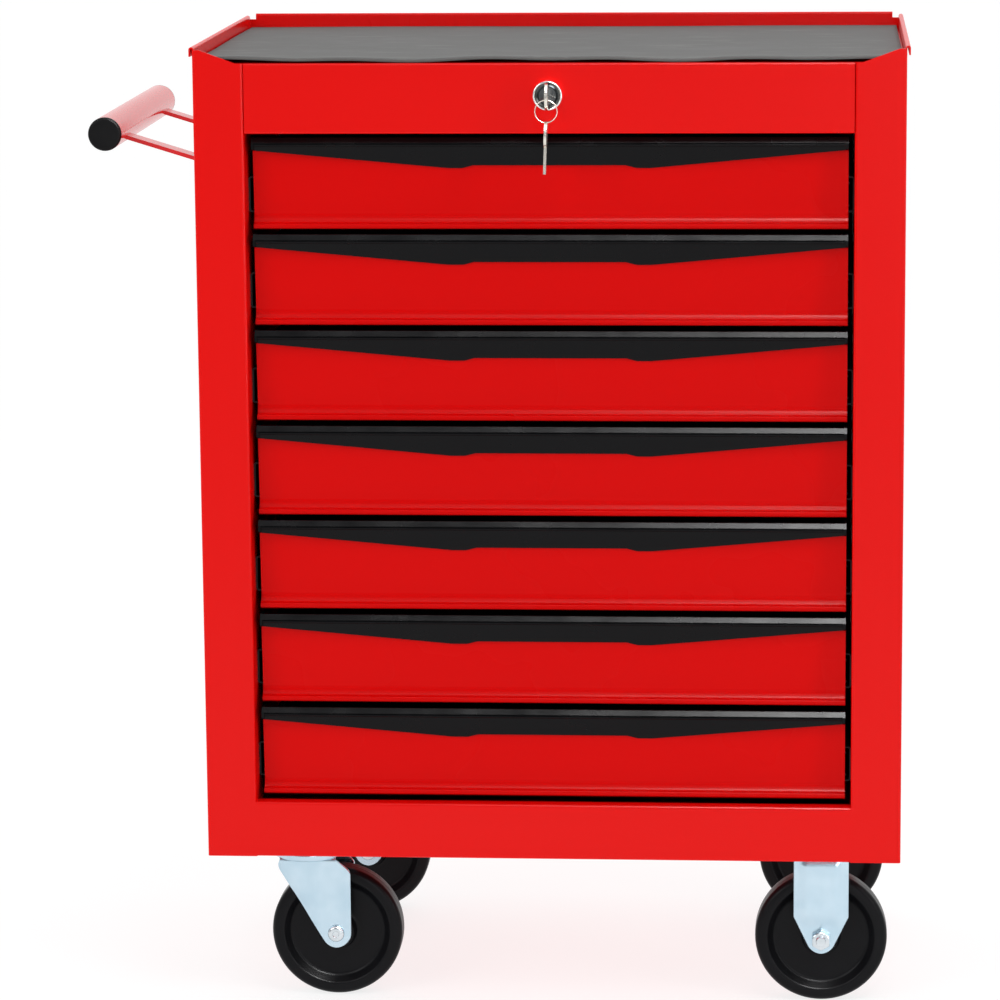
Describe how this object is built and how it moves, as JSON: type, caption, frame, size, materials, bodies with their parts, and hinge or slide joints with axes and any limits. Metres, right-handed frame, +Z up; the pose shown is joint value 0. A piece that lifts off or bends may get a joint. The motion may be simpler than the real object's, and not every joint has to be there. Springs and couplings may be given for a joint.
{
  "type": "rolling tool chest",
  "caption": "Sheet-steel drawer cabinet on casters with full-width drawer grips, a matted top tray, a side push handle and one lock for all drawers.",
  "frame": {"origin": "on the floor, under the middle of the whole outline, handle included", "axes": "+Z up, -Y the front with the drawers, -X the side with the push handle"},
  "size_m": [0.6162, 0.3566, 0.7404],
  "materials": {
    "red_enamel": "gloss powder coat",
    "drawer_red": "gloss powder coat",
    "drawer_steel": "satin powder coat",
    "grip_plastic": "satin",
    "cap_plastic": "satin",
    "wheel_plastic": "moulded",
    "tray_mat": "matt",
    "zinc_steel": "bright zinc plate",
    "lock_chrome": "polished",
    "lock_brass": "satin",
    "key_nickel": "polished"
  },
  "bodies": {
    "cabinet": {"side_panel_left": "red_enamel", "side_panel_right": "red_enamel", "back_panel": "red_enamel", "bottom_panel": "red_enamel", "top_panel": "red_enamel", "base_rail": "red_enamel", "rear_posts": "zinc_steel", "slide_channels": "drawer_steel", "top_mat": "tray_mat", "handle_tube": "red_enamel", "handle_brackets": "red_enamel", "handle_caps": "cap_plastic", "handle_bolts": "zinc_steel", "lock_barrel": "lock_chrome", "lock_nut": "zinc_steel", "fixed_brackets": "zinc_steel", "fixed_axles": "zinc_steel", "swivel_plates": "zinc_steel", "caster_bolts": "zinc_steel"},
    "drawer_1": {"drawer_1_box": "drawer_steel", "drawer_1_front": "drawer_red", "drawer_1_grip": "grip_plastic", "drawer_1_runners": "drawer_steel"},
    "drawer_2": {"drawer_2_box": "drawer_steel", "drawer_2_front": "drawer_red", "drawer_2_grip": "grip_plastic", "drawer_2_runners": "drawer_steel"},
    "drawer_3": {"drawer_3_box": "drawer_steel", "drawer_3_front": "drawer_red", "drawer_3_grip": "grip_plastic", "drawer_3_runners": "drawer_steel"},
    "drawer_4": {"drawer_4_box": "drawer_steel", "drawer_4_front": "drawer_red", "drawer_4_grip": "grip_plastic", "drawer_4_runners": "drawer_steel"},
    "drawer_5": {"drawer_5_box": "drawer_steel", "drawer_5_front": "drawer_red", "drawer_5_grip": "grip_plastic", "drawer_5_runners": "drawer_steel"},
    "drawer_6": {"drawer_6_box": "drawer_steel", "drawer_6_front": "drawer_red", "drawer_6_grip": "grip_plastic", "drawer_6_runners": "drawer_steel"},
    "drawer_7": {"drawer_7_box": "drawer_steel", "drawer_7_front": "drawer_red", "drawer_7_grip": "grip_plastic", "drawer_7_runners": "drawer_steel"},
    "lock_cylinder": {"lock_plug": "lock_brass", "lock_crank": "zinc_steel", "lock_key": "key_nickel"},
    "locking_bar": {"lock_bar": "zinc_steel"},
    "keyring": {"key_ring": "key_nickel"},
    "front_swivel": {"front_fork": "zinc_steel", "front_fork_axle": "zinc_steel"},
    "rear_swivel": {"rear_fork": "zinc_steel", "rear_fork_axle": "zinc_steel"},
    "wheel_front_right_body": {"wheel_front_right": "wheel_plastic"},
    "wheel_rear_right_body": {"wheel_rear_right": "wheel_plastic"},
    "wheel_front_left_body": {"wheel_front_left": "wheel_plastic"},
    "wheel_rear_left_body": {"wheel_rear_left": "wheel_plastic"}
  },
  "joints": [
    {"name": "drawer_1_slide", "type": "slide", "parent": "cabinet", "child": "drawer_1", "axis": [0, -1, 0], "range_m": [0, 0.195]},
    {"name": "drawer_2_slide", "type": "slide", "parent": "cabinet", "child": "drawer_2", "axis": [0, -1, 0], "range_m": [0, 0.195]},
    {"name": "drawer_3_slide", "type": "slide", "parent": "cabinet", "child": "drawer_3", "axis": [0, -1, 0], "range_m": [0, 0.195]},
    {"name": "drawer_4_slide", "type": "slide", "parent": "cabinet", "child": "drawer_4", "axis": [0, -1, 0], "range_m": [0, 0.195]},
    {"name": "drawer_5_slide", "type": "slide", "parent": "cabinet", "child": "drawer_5", "axis": [0, -1, 0], "range_m": [0, 0.195]},
    {"name": "drawer_6_slide", "type": "slide", "parent": "cabinet", "child": "drawer_6", "axis": [0, -1, 0], "range_m": [0, 0.195]},
    {"name": "drawer_7_slide", "type": "slide", "parent": "cabinet", "child": "drawer_7", "axis": [0, -1, 0], "range_m": [0, 0.195]},
    {"name": "lock_turn", "type": "hinge", "parent": "cabinet", "child": "lock_cylinder", "pos_m": [0.04055, -0.1543, 0.7028], "axis": [0, 1, 0], "range_deg": [0, 90]},
    {"name": "locking_bar_lift", "type": "slide", "parent": "cabinet", "child": "locking_bar", "axis": [0, 0, 1], "range_m": [0, 0.0114]},
    {"name": "keyring_swing", "type": "hinge", "parent": "lock_cylinder", "child": "keyring", "pos_m": [0.04055, -0.1748, 0.70115], "axis": [-1, 0, 0], "range_deg": [-15, 60]},
    {"name": "front_swivel_turn", "type": "hinge", "parent": "cabinet", "child": "front_swivel", "pos_m": [-0.15145, -0.1103, 0.113], "axis": [0, 0, 1], "continuous": true},
    {"name": "rear_swivel_turn", "type": "hinge", "parent": "cabinet", "child": "rear_swivel", "pos_m": [-0.15145, 0.1317, 0.113], "axis": [0, 0, 1], "continuous": true},
    {"name": "front_right_wheel_spin", "type": "hinge", "parent": "cabinet", "child": "wheel_front_right_body", "pos_m": [0.24555, -0.1103, 0.0508], "axis": [0, 1, 0], "continuous": true},
    {"name": "rear_right_wheel_spin", "type": "hinge", "parent": "cabinet", "child": "wheel_rear_right_body", "pos_m": [0.24555, 0.1317, 0.0508], "axis": [0, 1, 0], "continuous": true},
    {"name": "front_left_wheel_spin", "type": "hinge", "parent": "front_swivel", "child": "wheel_front_left_body", "pos_m": [-0.12945, -0.1103, 0.0508], "axis": [0, 1, 0], "continuous": true},
    {"name": "rear_left_wheel_spin", "type": "hinge", "parent": "rear_swivel", "child": "wheel_rear_left_body", "pos_m": [-0.12945, 0.1317, 0.0508], "axis": [0, 1, 0], "continuous": true}
  ],
  "couplings": [
    {"joint": "locking_bar_lift", "follows": "lock_turn", "m_per_rad": 0.0072025}
  ]
}
